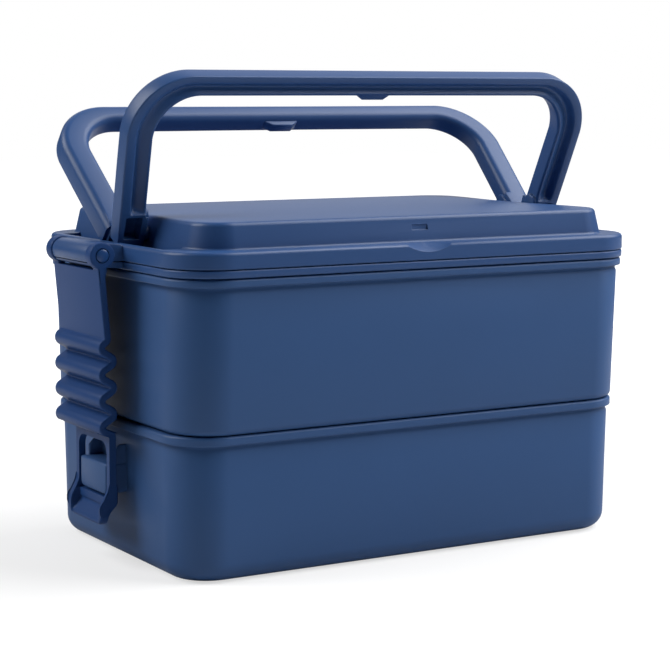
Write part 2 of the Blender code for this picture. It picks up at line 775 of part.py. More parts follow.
def eye_outline():
    """Round eye with a neck that runs down into the panel."""
    crest = ridge_line_x() - pin_x
    half = strap_thickness / 2
    neck = -panel_drop - 5 * mm
    lean = panel_lean * 5 * mm / panel_length
    return ([(crest + half - lean, neck)] + [(crest + half, -panel_drop + 0.5 * mm)]
            + arc((0, 0), eye_radius, -60, 240, 22)
            + [(crest - half, -panel_drop + 0.5 * mm), (crest - half - lean, neck)])


def make_tab():
    """Thumb tab: the buckle's foot flared outward."""
    face = strap_face_x() - pin_x
    inner = face - strap_thickness
    foot = tab_foot_z() - pin_z
    top = window_foot_z - pin_z + tab_shoulder
    outline = [(inner, top + 1.5 * mm), (inner, foot + 2.2 * mm), (inner + 1.2 * mm, foot),
               (face + tab_flare - 1.2 * mm, foot), (face + tab_flare, foot + 1.2 * mm),
               (face + tab_flare, top - 1.6 * mm), (face + tab_flare - 0.8 * mm, top - 0.3 * mm),
               (face, top + 1.5 * mm)]
    return flat_solid("tab", outline, -buckle_half_width, buckle_half_width)


def make_tab_scoop():
    """Thumb rest between the tab's cheeks: two facets that flare out to the lower lip."""
    face = strap_face_x() - pin_x
    foot = tab_foot_z() - pin_z
    top = window_foot_z - pin_z + tab_shoulder + 2 * mm
    outline = [(face - 0.7 * mm, top), (face - 0.7 * mm, foot + 5.4 * mm),
               (face + tab_flare - 0.9 * mm, foot + 1.2 * mm), (face + tab_flare + 3 * mm, foot + 0.2 * mm),
               (face + tab_flare + 3 * mm, top)]
    half = window_half_width - 0.4 * mm
    return flat_solid("scoop", outline, -half, half)


def make_window():
    """Opening in the buckle for the catch block, with rounded upper corners."""
    foot = window_foot_z - pin_z
    top = foot + window_height
    half = window_half_width
    outline = [(-half, foot), (half, foot)]
    outline += arc((half - window_radius, top - window_radius), window_radius, 0, 90)
    outline += arc((window_radius - half, top - window_radius), window_radius, 90, 180)
    low = strap_face_x() - pin_x - strap_thickness - 1 * mm
    return flat_solid("window", outline, low, strap_face_x() - pin_x + tab_flare + 2 * mm, end_on)


def make_pin():
    """Hinge pin with a domed head in each eye, turned about its axis."""
    end = strap_half_width
    shaft_end = end - pin_head_length + fit_gap
    head = pin_head_radius
    half = [(pin_radius, shaft_end), (head, shaft_end), (head, end)]
    for step in range(1, 4):
        angle = math.radians(90) * step / 4
        half.append((head * math.cos(angle), end + pin_dome * math.sin(angle)))
    profile = [(0, end + pin_dome)] + half[::-1] + [(x, -z) for x, z in half] + [(0, -end - pin_dome)]
    mesh = bpy.data.meshes.new("pin")
    mesh.from_pydata([(x, 0, z) for x, z in profile],
                     [(here, here + 1) for here in range(len(profile) - 1)], [])
    item = add_cutter("pin", mesh)
    screw = item.modifiers.new("turn", 'SCREW')
    screw.steps = round_steps
    screw.render_steps = round_steps
    screw.use_merge_vertices = True
    screw.merge_threshold = 0.01 * mm
    bpy.context.view_layer.update()
    shown = item.evaluated_get(bpy.context.evaluated_depsgraph_get())
    turned = bpy.data.meshes.new_from_object(shown)
    bpy.data.objects.remove(item, do_unlink=True)
    turned.transform(Matrix.Rotation(math.radians(90), 4, 'X'))
    turned.name = "strap_pin"
    return turned


def build():
    """Make every part and put it in place."""
    tub_plastic = plastic("tub_plastic", tub_colour, 0.42)
    lid_plastic = plastic("lid_plastic", lid_colour, 0.40)
    strap_plastic = plastic("strap_plastic", lid_colour, 0.45)
    pin_plastic = plastic("pin_plastic", pin_colour, 0.35)
    seal_rubber = plastic("seal_rubber", seal_colour, 0.60)
    add_part("lower_tub", make_lower_tub(), tub_plastic)
    add_part("tier_seal", make_seal("tier_seal", tier_plug_plan, tier_joint_z), seal_rubber)
    add_part("upper_tub", make_upper_tub(), tub_plastic)
    add_part("lid_seal", make_seal("lid_seal", lid_plug_plan, lid_joint_z), seal_rubber)
    add_part("lid_frame", make_lid_frame(), lid_plastic)
    add_part("lid_cover", make_lid_cover(), lid_plastic)
    handle = make_handle()
    strap = make_strap()
    pin = make_pin()
    add_part("handle_front", handle, lid_plastic, (0, -pivot_y, pivot_z), (front_lean, 0, 0))
    add_part("handle_back", handle, lid_plastic, (0, pivot_y, pivot_z), (back_lean, 0, math.pi))
    for name, side, turn in (("right", 1, 0), ("left", -1, math.pi)):
        add_part(f"strap_{name}", strap, strap_plastic, (side * pin_x, 0, pin_z), (0, 0, turn))
        add_part(f"strap_pin_{name}", pin, pin_plastic, (side * pin_x, 0, pin_z), (0, 0, turn))


build()
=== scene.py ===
import math

import bmesh
import bpy
from mathutils import Matrix, Vector


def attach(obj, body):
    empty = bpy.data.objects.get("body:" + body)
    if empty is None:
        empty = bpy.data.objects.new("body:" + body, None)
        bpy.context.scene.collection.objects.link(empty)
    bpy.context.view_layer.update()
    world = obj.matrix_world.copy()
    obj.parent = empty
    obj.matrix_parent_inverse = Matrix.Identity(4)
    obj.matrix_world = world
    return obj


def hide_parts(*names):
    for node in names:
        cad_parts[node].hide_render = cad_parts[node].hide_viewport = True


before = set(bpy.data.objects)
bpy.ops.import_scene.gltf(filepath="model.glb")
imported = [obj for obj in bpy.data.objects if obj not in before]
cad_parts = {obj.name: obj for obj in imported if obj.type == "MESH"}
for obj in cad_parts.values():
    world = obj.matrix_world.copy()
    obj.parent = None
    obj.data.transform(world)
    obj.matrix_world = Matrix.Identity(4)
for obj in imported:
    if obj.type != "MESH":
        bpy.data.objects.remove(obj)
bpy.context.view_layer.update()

mm = 0.001
print("frame loaded:", len(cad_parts), "nodes")


# Colours and materials

def hexColour(code):
    # sRGB hex to the linear values that the shader wants
    found = []
    for start in (1, 3, 5):
        part = int(code[start:start + 2], 16) / 255
        found.append(part / 12.92 if part <= 0.04045 else ((part + 0.055) / 1.055) ** 2.4)
    return (*found, 1.0)


def addNode(tree, kind, settings=None, **inputs):
    # inputs are values, sockets or nodes, which give their first output; their names are the node's
    # own with _ for a space, or i and a number
    node = tree.nodes.new(kind)
    for name, value in (settings or {}).items():
        setattr(node, name, value)
    for name, value in inputs.items():
        numbered = name[0] == "i" and name[1:].isdigit()
        socket = node.inputs[int(name[1:]) if numbered else name.replace("_", " ")]
        if isinstance(value, bpy.types.Node):
            value = value.outputs[0]
        if isinstance(value, bpy.types.NodeSocket):
            tree.links.new(value, socket)
        else:
            socket.default_value = value
    return node


plasticLooks = {
    # sheen is the specular level; grain and the soft edge are in millimetres
    "tub": {"colour": "#30507F", "cloudColour": "#2E4D7A",
            "sheen": 0.24, "roughness": 0.46, "grain": 0.55, "edge": 0.35},
    "lid": {"colour": "#294A7C", "cloudColour": "#274777",
            "sheen": 0.30, "roughness": 0.40, "grain": 0.50, "edge": 0.30},
    "strap": {"colour": "#1F3F72", "cloudColour": "#1D3C6D",
              "sheen": 0.14, "roughness": 0.46, "grain": 0.50, "edge": 0.25},
    "pin": {"colour": "#20447A", "cloudColour": "#1E4072",
            "sheen": 0.30, "roughness": 0.30, "grain": 0.40, "edge": 0.15},
}
mouldSkin = {"ior": 1.49, "cloudSize": 45, "glossier": 0.04, "duller": 0.05, "grainDepth": 0.04,
             "bump": 0.12}
siliconeLook = {"ior": 1.43, "colour": "#465A7C", "dustColour": "#52668A", "dustSize": 6,
                "glossiest": 0.58, "dullest": 0.70}


def newMaterial(name, ior):
    material = bpy.data.materials.new(name)
    material.use_nodes = True
    shader = material.node_tree.nodes["Principled BSDF"]
    shader.inputs["IOR"].default_value = ior
    return material, material.node_tree, shader


def polypropylene(name, look):
    # moulded polypropylene: satin from a fine spark-eroded mould face, with faint flow clouds
    material, tree, shader = newMaterial(name, mouldSkin["ior"])
    shader.inputs["Specular IOR Level"].default_value = look["sheen"]
    spot = addNode(tree, "ShaderNodeTexCoord").outputs["Object"]
    cloud = addNode(tree, "ShaderNodeTexNoise", Vector=spot, Detail=2.0,
                    Scale=1 / (mouldSkin["cloudSize"] * mm))
    colour = addNode(tree, "ShaderNodeMix", {"data_type": "RGBA"}, i0=cloud,
                     i6=hexColour(look["colour"]), i7=hexColour(look["cloudColour"]))
    tree.links.new(colour.outputs[2], shader.inputs["Base Color"])
    # mould grain: real grit is about 0.05 mm, drawn coarser so that it shows
    grain = addNode(tree, "ShaderNodeTexNoise", Vector=spot, Scale=1 / (look["grain"] * mm), Detail=3.0)
    rough = addNode(tree, "ShaderNodeMapRange", Value=grain,
                    To_Min=look["roughness"] - mouldSkin["glossier"],
                    To_Max=look["roughness"] + mouldSkin["duller"])
    tree.links.new(rough.outputs["Result"], shader.inputs["Roughness"])
    soft = addNode(tree, "ShaderNodeBevel", {"samples": 4}, Radius=look["edge"] * mm)
    bump = addNode(tree, "ShaderNodeBump", Height=grain, Normal=soft,
                   Strength=mouldSkin["bump"], Distance=mouldSkin["grainDepth"] * mm)
    tree.links.new(bump.outputs["Normal"], shader.inputs["Normal"])
    return material


def siliconeRubber(name):
    # moulded silicone: matte, slightly dusty, a shade greyer than the plastic
    material, tree, shader = newMaterial(name, siliconeLook["ior"])
    spot = addNode(tree, "ShaderNodeTexCoord").outputs["Object"]
    dust = addNode(tree, "ShaderNodeTexNoise", Vector=spot, Detail=4.0,
                   Scale=1 / (siliconeLook["dustSize"] * mm))
    colour = addNode(tree, "ShaderNodeMix", {"data_type": "RGBA"}, i0=dust,
                     i6=hexColour(siliconeLook["colour"]), i7=hexColour(siliconeLook["dustColour"]))
    tree.links.new(colour.outputs[2], shader.inputs["Base Color"])
    rough = addNode(tree, "ShaderNodeMapRange", Value=dust,
                    To_Min=siliconeLook["glossiest"], To_Max=siliconeLook["dullest"])
    tree.links.new(rough.outputs["Result"], shader.inputs["Roughness"])
    return material


finish = {key: polypropylene(key + "Polypropylene", look) for key, look in plasticLooks.items()}
finish["seal"] = siliconeRubber("sealSilicone")


# Shared sizes of the box, in millimetres, as in its CAD

box = {
    "lidPlan": (102.0, 68.3, 20.3),           # half length, half depth, corner radius
    "upperMouth": (100.2, 66.2, 19.0), "upperFoot": (99.8, 63.6, 18.5),
    "lowerMouth": (99.3, 61.5, 18.0), "lowerFoot": (98.5, 60.5, 17.5),
    "tierJoint": 54.2, "lidJoint": 111.2, "bandHeight": 3.2, "skirtHeight": 6.4,
    "wall": 2.1, "floor": 2.4, "gap": 0.3, "plugDepth": 4.6, "plugRadius": 0.9, "sealThickness": 1.8,
    "rimChamfer": 0.4, "cornerSteps": 20,
}
edgeAngles = {"rounded": 50, "sharp": 38}      # least angle in degrees between faces
skirtFoot = box["lidJoint"] + box["bandHeight"]
ledgeTop = skirtFoot + box["skirtHeight"]


def inset(plan, distance):
    return tuple(size - distance for size in plan)


def arc(centreX, centreY, radius, start, end, steps=8):
    found = []
    for step in range(steps + 1):
        angle = math.radians(start + (end - start) * step / steps)
        found.append((centreX + radius * math.cos(angle), centreY + radius * math.sin(angle)))
    return found


def roundRings(plan, z, radius, start, end, steps):
    # rings round an edge, from one angle to another; z is the height of its centre
    return [(inset(plan, radius - across), z + up)
            for across, up in arc(0, 0, radius, start, end, steps)]


def footRings(plan, z, radius, steps=8):
    # rings from a flat underside round its edge to the wall
    return roundRings(plan, z + radius, radius, -90, 0, steps)


bead = {"groove": 0.45, "grooveTop": 0.2, "grooveFoot": 1.5, "runOut": 2.4, "foot": 0.5, "top": 1.1}


def beadRings(plan, top, height, reach):
    # rings up the outside of a rim bead: a shallow groove and a tight edge below, a softer one above
    foot, groove = top - height, inset(plan, bead["groove"])
    rings = [(plan, foot - bead["runOut"]), (groove, foot - bead["grooveFoot"]),
             (groove, foot - bead["grooveTop"])]
    for radius, middle, start, steps in ((bead["foot"], foot + bead["foot"], -90, 5),
                                         (bead["top"], top - bead["top"], 0, 6)):
        rings += [(inset(plan, radius - reach - across), middle + up)
                  for across, up in arc(0, 0, radius, start, start + 90, steps)]
    return rings


def meshObject(name, verts, faces=(), edges=()):
    mesh = bpy.data.meshes.new(name)
    mesh.from_pydata([tuple(vert) for vert in verts], list(edges), [list(face) for face in faces])
    item = bpy.data.objects.new(name, mesh)
    bpy.context.collection.objects.link(item)
    return item


def outward(item, closing=False):
    # open ends closed if asked, doubles merged, then all faces turned out
    bm = bmesh.new()
    bm.from_mesh(item.data)
    if closing:
        bmesh.ops.holes_fill(bm, edges=[edge for edge in bm.edges if edge.is_boundary])
    bmesh.ops.remove_doubles(bm, verts=bm.verts, dist=0.002)
    bmesh.ops.recalc_face_normals(bm, faces=bm.faces)
    bm.to_mesh(item.data)
    bm.free()
    return item


def settled(item, closing=False):
    # plain mesh object with the modifiers applied, in place of the first one
    bpy.context.view_layer.update()
    shown = item.evaluated_get(bpy.context.evaluated_depsgraph_get())
    mesh = bpy.data.meshes.new_from_object(shown)
    name = item.name
    bpy.data.objects.remove(item, do_unlink=True)
    plain = bpy.data.objects.new(name, mesh)
    bpy.context.collection.objects.link(plain)
    return outward(plain, closing)


def joined(item, steps):
    # union or cut with other pieces, which are used up
    for operation, tool in steps:
        change = item.modifiers.new(tool.name, "BOOLEAN")
        change.operation = operation
        change.solver = "EXACT"
        change.object = tool
    item = settled(item)
    for operation, tool in steps:
        bpy.data.objects.remove(tool, do_unlink=True)
    return item


def ringPoints(plan, z, steps, waist=None):
    # rounded rectangle; a waist draws its two ends in at their middle
    halfX, halfY, corner = plan
    points = []
    for turn, (sideX, sideY) in enumerate(((1, 1), (-1, 1), (-1, -1), (1, -1))):
        for step in range(steps + 1):
            angle = math.radians(90) * (turn + step / steps)
            points.append((sideX * (halfX - corner) + corner * math.cos(angle),
                           sideY * (halfY - corner) + corner * math.sin(angle), z))
        if turn % 2 and waist is not None:
            for step in range(1, 24):
                share = step / 12 - 1
                bow = waist * (0.5 + 0.5 * math.cos(math.pi * share))
                points.append((sideX * (halfX - bow), -sideY * share * (halfY - corner), z))
    return points


def lofted(name, rings):
    # skin over rings of as many points each, capped at both ends
    count = len(rings[0])
    verts = [point for ring in rings for point in ring]
    faces = []
    for low in range(0, len(verts) - count, count):
        high = low + count
        for here in range(count):
            after = (here + 1) % count
            faces.append((low + here, low + after, high + after, high + here))
    faces += [range(count), range(len(verts) - count, len(verts))]
    return outward(meshObject(name, verts, faces))


def prism(name, outline, low, high, along="Y", edge=0.0):
    # flat outline extruded along Y (as X, Z) or X (as Y, Z), with its rims rounded by edge
    turn = {"Y": lambda a, b, c: (a, c, b), "X": lambda a, b, c: (c, a, b)}[along]
    count = len(outline)
    verts = [turn(a, b, low) for a, b in outline] + [turn(a, b, high) for a, b in outline]
    faces = [(here, (here + 1) % count, count + (here + 1) % count, count + here)
             for here in range(count)]
    item = outward(meshObject(name, verts, [*faces, range(count), range(count, 2 * count)]))
    return softened(item, edge) if edge else item


def softened(item, width, segments=3):
    bevel = item.modifiers.new("rounding", "BEVEL")
    bevel.width = width
    bevel.segments = segments
    bevel.limit_method = "ANGLE"
    bevel.angle_limit = math.radians(edgeAngles["rounded"])
    bevel.use_clamp_overlap = True
    return settled(item)


def rod(name, axis, radius, low, high, centre, steps=48):
    bm = bmesh.new()
    bmesh.ops.create_cone(bm, cap_ends=True, segments=steps, radius1=radius, radius2=radius,
                          depth=high - low)
    middle = Vector(centre)
    middle["XY".index(axis)] = (low + high) / 2
    turn = Matrix.Rotation(math.radians(90), 4, "Y" if axis == "X" else "X")
    bmesh.ops.transform(bm, matrix=Matrix.Translation(middle) @ turn, verts=bm.verts)
    item = meshObject(name, [])
    bm.to_mesh(item.data)
    bm.free()
    return outward(item)


def block(name, low, high):
    outline = [(low[0], low[2]), (high[0], low[2]), (high[0], high[2]), (low[0], high[2])]
    return prism(name, outline, low[1], high[1])


def changed(item, matrix=Matrix()):
    # copy moved by a matrix, mirrored ones too
    other = item.copy()
    other.data = item.data.copy()
    other.data.transform(matrix)
    bpy.context.collection.objects.link(other)
    return outward(other)


halfTurn = Matrix.Rotation(math.pi, 4, "Z")


def twice(tools, matrix):
    # steps for joined: each tool, and then its copy moved by a matrix
    return [step for operation, tool in tools
            for step in ((operation, tool), (operation, changed(tool, matrix)))]


def place(item, node, body, key, matrix=Matrix()):
    # finished piece: metres, its own place in its mesh, smooth but for real edges
    item.data.transform(matrix @ Matrix.Scale(mm, 4))
    item.name = node + "_fine"
    item.data.name = item.name
    item.data.materials.clear()
    item.data.materials.append(finish[key])
    item.data.shade_smooth()
    item.data.set_sharp_from_angle(angle=math.radians(edgeAngles["sharp"]))
    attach(item, body)
    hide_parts(node)


# Tubs: rounded rings skinned by Geometry Nodes

def newTree(name, result, sockets):
    # geometry tree with named inputs and one result
    tree = bpy.data.node_groups.new(name, "GeometryNodeTree")
    for socket, kind in sockets.items():
        tree.interface.new_socket(socket, in_out="INPUT", socket_type="NodeSocket" + kind)
    tree.interface.new_socket(result, in_out="OUTPUT", socket_type="NodeSocketGeometry")
    return tree, addNode(tree, "NodeGroupInput").outputs


def skinTree():
    # each vertex that comes in is one ring: its attributes give the plan and the height
    tree, given = newTree("roundedRingSkin", "Skin", {
        "Rings": "Geometry", "Corner Steps": "Int", "Ring Count": "Int", "Plastic": "Material"})
    quarter = math.pi / 2
    sums = [
        # result, operation, and the two values or earlier results that it takes
        ("perCorner", "ADD", "Corner Steps", 1.0),
        ("around", "MULTIPLY", "perCorner", 4.0),
        ("columns", "ADD", "around", 1.0),
        ("pastStart", "ADD", "index", 0.5),
        ("columnShare", "DIVIDE", "pastStart", "Ring Count"),
        ("column", "FLOOR", "columnShare", 0.0),
        ("rowStart", "MULTIPLY", "column", "Ring Count"),
        ("row", "SUBTRACT", "index", "rowStart"),
        ("spot", "MODULO", "column", "around"),
        ("pastCorner", "ADD", "spot", 0.5),
        ("cornerShare", "DIVIDE", "pastCorner", "perCorner"),
        ("corner", "FLOOR", "cornerShare", 0.0),
        ("cornerStart", "MULTIPLY", "corner", "perCorner"),
        ("step", "SUBTRACT", "spot", "cornerStart"),
        ("stepShare", "DIVIDE", "step", "Corner Steps"),
        ("turns", "ADD", "corner", "stepShare"),
        ("angle", "MULTIPLY", "turns", quarter),
        ("middle", "ADD", "corner", 0.5),
        ("facing", "MULTIPLY", "middle", quarter),
        # values that this vertex's ring carries
        ("radius", "ring", "corner", "row"),
        ("height", "ring", "height", "row"),
    ]
    for axis, wave in (("X", "COSINE"), ("Y", "SINE")):
        sums += [
            ("half" + axis, "ring", "half" + axis, "row"),
            ("towards" + axis, wave, "facing", 0.0),
            ("side" + axis, "SIGN", "towards" + axis, 0.0),
            ("straight" + axis, "SUBTRACT", "half" + axis, "radius"),
            ("flat" + axis, "MULTIPLY", "side" + axis, "straight" + axis),
            ("bend" + axis, wave, "angle", 0.0),
            ("round" + axis, "MULTIPLY", "radius", "bend" + axis),
            ("across" + axis, "ADD", "flat" + axis, "round" + axis),
        ]
    values = {name: given[name] for name in ("Corner Steps", "Ring Count")}
    values["index"] = addNode(tree, "GeometryNodeInputIndex")
    for name, operation, first, second in sums:
        if operation == "ring":
            carried = addNode(tree, "GeometryNodeInputNamedAttribute", {"data_type": "FLOAT"}, Name=first)
            found = addNode(tree, "GeometryNodeSampleIndex", {"data_type": "FLOAT", "domain": "POINT"},
                            Geometry=given["Rings"], Value=carried, Index=values[second])
        else:
            found = addNode(tree, "ShaderNodeMath", {"operation": operation},
                            i0=values.get(first, first), i1=values.get(second, second))
        values[name] = found
    grid = addNode(tree, "GeometryNodeMeshGrid", Vertices_X=values["columns"],
                   Vertices_Y=given["Ring Count"])
    point = addNode(tree, "ShaderNodeCombineXYZ", X=values["acrossX"], Y=values["acrossY"],
                    Z=values["height"])
    skin = addNode(tree, "GeometryNodeSetPosition", Geometry=grid, Position=point)
    skin = addNode(tree, "GeometryNodeMergeByDistance", Geometry=skin, Distance=0.001)
    skin = addNode(tree, "GeometryNodeRealizeInstances", Geometry=skin)
    skin = addNode(tree, "GeometryNodeSetMaterial", Geometry=skin, Material=given["Plastic"])
    addNode(tree, "NodeGroupOutput", Skin=skin)
    return tree


def setInputs(item, tree, values):
    grow = item.modifiers.new(tree.name, "NODES")
    grow.node_group = tree
    for socket in tree.interface.items_tree:
        if socket.in_out == "INPUT" and socket.name in values:
            grow[socket.identifier] = values[socket.name]


ringSkin = skinTree()


def skinned(name, rings):
    # rings are (plan, height), from one floor to the other
    item = meshObject(name, [(0, 0, z) for plan, z in rings])
    sizes = [(*plan, z) for plan, z in rings]
    for attribute, values in zip(("halfX", "halfY", "corner", "height"), zip(*sizes)):
        item.data.attributes.new(attribute, "FLOAT", "POINT").data.foreach_set("value", values)
    setInputs(item, ringSkin, {"Corner Steps": box["cornerSteps"], "Ring Count": len(rings),
                               "Plastic": finish["tub"]})
    return settled(item, closing=True)


def rimInside(inner, top):
    return [(inset(inner, -box["rimChamfer"]), top), (inner, top - box["rimChamfer"])]


lowerTub = {"rimHeight": 3.4, "rimReach": 1.4, "footRadius": 7.0}
strapFace = 107.75           # outer face of the buckle plate, from the middle of the box
catch = {
    "halfWidth": 11.8, "foot": 26.3, "height": 11.7, "sunk": 0.1, "edge": 0.9, "corner": 2.6,
    "web": 1.5, "webMiddle": 10.8, "webRaised": 4, "webTop": 45.0, "webFace": 104.6, "webChamfer": 3,
    "webEdge": 0.6,
}


def makeLowerTub():
    top = box["tierJoint"] - box["gap"] / 2
    inner = inset(box["lowerMouth"], box["wall"])
    rings = footRings(box["lowerFoot"], 0, lowerTub["footRadius"], 14)
    rings += beadRings(box["lowerMouth"], top, lowerTub["rimHeight"], lowerTub["rimReach"])
    rings += rimInside(inner, top)
    rings += footRings(inset(box["lowerFoot"], box["wall"]), box["floor"],
                       lowerTub["footRadius"] - box["wall"] / 2, 12)[::-1]
    tub = skinned("lowerTub", rings)
    root = box["lowerFoot"][0] - box["wall"] / 2
    low, high, face = catch["foot"], catch["foot"] + catch["height"], strapFace - catch["sunk"]
    corner = catch["corner"]
    outline = [(-catch["halfWidth"], high), (catch["halfWidth"], high)]
    outline += arc(catch["halfWidth"] - corner, low + corner, corner, 0, -90, 6)
    outline += arc(corner - catch["halfWidth"], low + corner, corner, -90, -180, 6)
    tools = [("UNION", prism("catch", outline, root, face, "X", catch["edge"]))]
    foot, top, half = low + catch["webRaised"], catch["webTop"], catch["web"] / 2
    face, chamfer = catch["webFace"], catch["webChamfer"]
    outline = [(root, foot), (face, foot), (face, top - chamfer), (face - chamfer, top), (root, top)]
    for side in (-1, 1):
        middle = side * catch["webMiddle"]
        web = prism("web", outline, middle - half, middle + half, "Y", catch["webEdge"])
        tools.append(("UNION", web))
    return joined(tub, twice(tools, halfTurn))


upperTub = {"rimHeight": 3.0, "rimReach": 1.6, "footRadius": 2.4}


def makeUpperTub():
    top, foot = box["lidJoint"] - box["gap"] / 2, box["tierJoint"] + box["gap"] / 2
    inner = inset(box["upperMouth"], box["wall"])
    plug = inset(box["lowerMouth"], box["wall"] + box["sealThickness"] + 2 * box["gap"])
    plugFoot = foot - box["plugDepth"]
    rings = footRings(plug, plugFoot, box["plugRadius"], 5) + [(plug, foot)]
    rings += footRings(box["upperFoot"], foot, upperTub["footRadius"], 8)
    rings += beadRings(box["upperMouth"], top, upperTub["rimHeight"], upperTub["rimReach"])
    rings += rimInside(inner, top)
    rings.append((inset(box["upperFoot"], box["wall"]), foot + upperTub["footRadius"] + box["wall"]))
    hollow = inset(plug, box["wall"])
    rings.append((hollow, foot + box["wall"]))
    rings += footRings(hollow, plugFoot + box["floor"], box["plugRadius"], 5)[::-1]
    return skinned("upperTub", rings)


place(makeLowerTub(), "lower_tub", "base", "tub")
place(makeUpperTub(), "upper_tub", "tier", "tub")
print("tubs made")


# Lid: the band and plug below, the stepped cover above

lid = {
    "plateau": (92.0, 61.9, 14.0), "rise": 10.0, "draft": 1.6, "edgeRadius": 2.0, "waist": 4.0,
    "crown": 1.1, "skirtRadius": 1.6, "bandRadius": 0.7, "bandInset": 0.1, "ledgeFillet": 1.1, "web": 1.8,
    "troughRim": 2.4, "troughHalfLength": 46.0, "troughFloor": 117.9, "troughEdge": 1.2,
    "slot": (7.2, 2.1, 0.6), "slotDrop": 4.4, "slotEdge": 0.35, "scoopLength": 24.0, "scoopDrop": 3.2,
    "boreClearance": 0.3, "footChamfer": (0.25, 0.3), "cornerSteps": 18,
}
hinge = {
    "x": 112.3, "z": 117.3, "knuckle": 4.5, "eye": 4.9, "eyeWidth": 5.0, "halfWidth": 21.0,
    "pin": 1.6, "head": 2.45, "headLength": 2.0, "dome": 0.7, "edge": 0.3,
    "lipRoot": 2.2, "lipBack": 3, "lipDrop": 0.4, "lipRaised": 0.3, "lipEdge": 0.25,
    # the lip's tongue and its backing, below the knuckle, from the strap's middle line
    "tongueInset": 1.85, "tongueTaper": 2.16, "tongueHalf": 13.5, "tongueDepth": 4.7, "backingDepth": 4.9,
    "backingFoot": 2.4, "backingTop": 3.0, "plate": 1.2,
}
knuckleHalf = hinge["halfWidth"] - hinge["eyeWidth"] - box["gap"]
ridgeLine = hinge["x"] + 0.4                 # middle of the strap's band at a crest
plateauTop = ledgeTop + lid["rise"]


def knuckleBelow(cut):
    # round underside of the knuckle, from the height of the cut down
    start = -math.degrees(math.asin((hinge["z"] - cut) / hinge["knuckle"]))
    return arc(hinge["x"], hinge["z"], hinge["knuckle"], start, -95, 12)


def makeLidFrame():
    foot, top = box["lidJoint"] + box["gap"] / 2, skirtFoot - box["gap"] / 2
    band, radius = inset(box["lidPlan"], lid["bandInset"]), lid["bandRadius"]
    plug = inset(box["upperMouth"], box["wall"] + box["sealThickness"] + 2 * box["gap"])
    plugFoot = foot - box["plugDepth"]
    step = inset(box["lidPlan"], box["wall"] + box["gap"])
    rings = footRings(plug, plugFoot, box["plugRadius"], 5) + [(plug, foot)]
    rings += footRings(band, foot, radius, 5) + roundRings(band, top - radius, radius, 0, 90, 5)
    rings += [(step, top), (step, top + 1), (inset(step, box["wall"]), top + 1),
              (inset(plug, box["wall"]), foot), (inset(plug, box["wall"]), plugFoot + box["wall"])]
    frameItem = skinned("lidFrame", rings)
    root = box["lidPlan"][0] - hinge["lipRoot"]
    lip = [(root, top)] + knuckleBelow(top)
    lip += [(hinge["x"] - hinge["lipBack"], hinge["z"] - hinge["knuckle"] - hinge["lipDrop"]),
            (root, foot + hinge["lipRaised"])]
    face, high = ridgeLine - hinge["tongueInset"], hinge["z"] - hinge["knuckle"] + 1
    inner, low, lower = face - hinge["plate"], high - hinge["tongueDepth"], high - hinge["backingDepth"]
    tongue = [(face, high), (face, low), (inner, low), (face - hinge["tongueTaper"], high)]
    backing = [(inner, high), (inner, lower), (face - hinge["backingFoot"], lower),
               (face - hinge["backingTop"], high)]
    tools = [("UNION", prism("lip", lip, -knuckleHalf, knuckleHalf, edge=hinge["lipEdge"]))]
    for name, outline, half in (("tongue", tongue, hinge["tongueHalf"]),
                                ("backing", backing, knuckleHalf - 0.2)):
        tools.append(("UNION", prism(name, outline, -half, half, edge=hinge["edge"])))
    return joined(frameItem, twice(tools, halfTurn))


def plateauWallX(y, z):
    share = (z - ledgeTop) / lid["rise"]
    bow = lid["waist"] * (0.5 + 0.5 * math.cos(math.pi * y / (lid["plateau"][1] - lid["plateau"][2])))
    return lid["plateau"][0] - lid["draft"] * share - bow


def plateauWallY(z):
    return lid["plateau"][1] - lid["draft"] * (z - ledgeTop) / lid["rise"]


def trunnionTip():
    # inner end of the trunnions, just inside the plateau's end walls
    return plateauWallX(handle["pivotY"], handle["pivotZ"]) - box["wall"] - 1


def coverRings():
    # the cover from its inner ceiling down, out and up to the crown, as (plan, height, waist)
    plan, plateau, waist, wall = box["lidPlan"], lid["plateau"], lid["waist"], box["wall"]
    topPlan = inset(plateau, lid["draft"])
    skirt, edge, fillet = lid["skirtRadius"], lid["edgeRadius"], lid["ledgeFillet"]
    foot, ceiling = skirtFoot + box["gap"] / 2, lid["troughFloor"] - lid["web"]
    footInset, footRise = lid["footChamfer"]
    rings = [(inset(topPlan, wall + 1), plateauTop - wall, waist),
             (inset(topPlan, wall), plateauTop - wall - 1, waist),
             (inset(plateau, wall), ceiling, waist), (inset(plan, wall), ceiling, 0),
             (inset(plan, wall), foot, 0), (inset(plan, footInset), foot, 0), (plan, foot + footRise, 0)]
    rings += [(*ring, 0) for ring in roundRings(plan, ledgeTop - skirt, skirt, 0, 90, 8)]
    # small fillet where the plateau stands on the ledge
    rings += [(inset(plateau, across - fillet), ledgeTop + fillet + up, waist)
              for across, up in arc(0, 0, fillet, -90, 0, 6)]
    rings += [(*ring, waist) for ring in roundRings(topPlan, plateauTop - edge, edge, 3, 84, 9)]
    # crown: rings that draw in, lose their waist and rise towards the middle
    for step in range(1, 12):
        share = 0.07 * step
        middle = inset(topPlan, edge + share * (topPlan[1] - 2 * edge) * 1.1)
        corner = max(topPlan[2] * (1 - 0.9 * share) - 1, 4)
        rise = lid["crown"] * (1 - (1 - share) ** 2)
        rings.append(((middle[0], middle[1], corner), plateauTop + rise, waist * (1 - share)))
    return [ringPoints(plan, z, lid["cornerSteps"], bow) for plan, z, bow in rings]


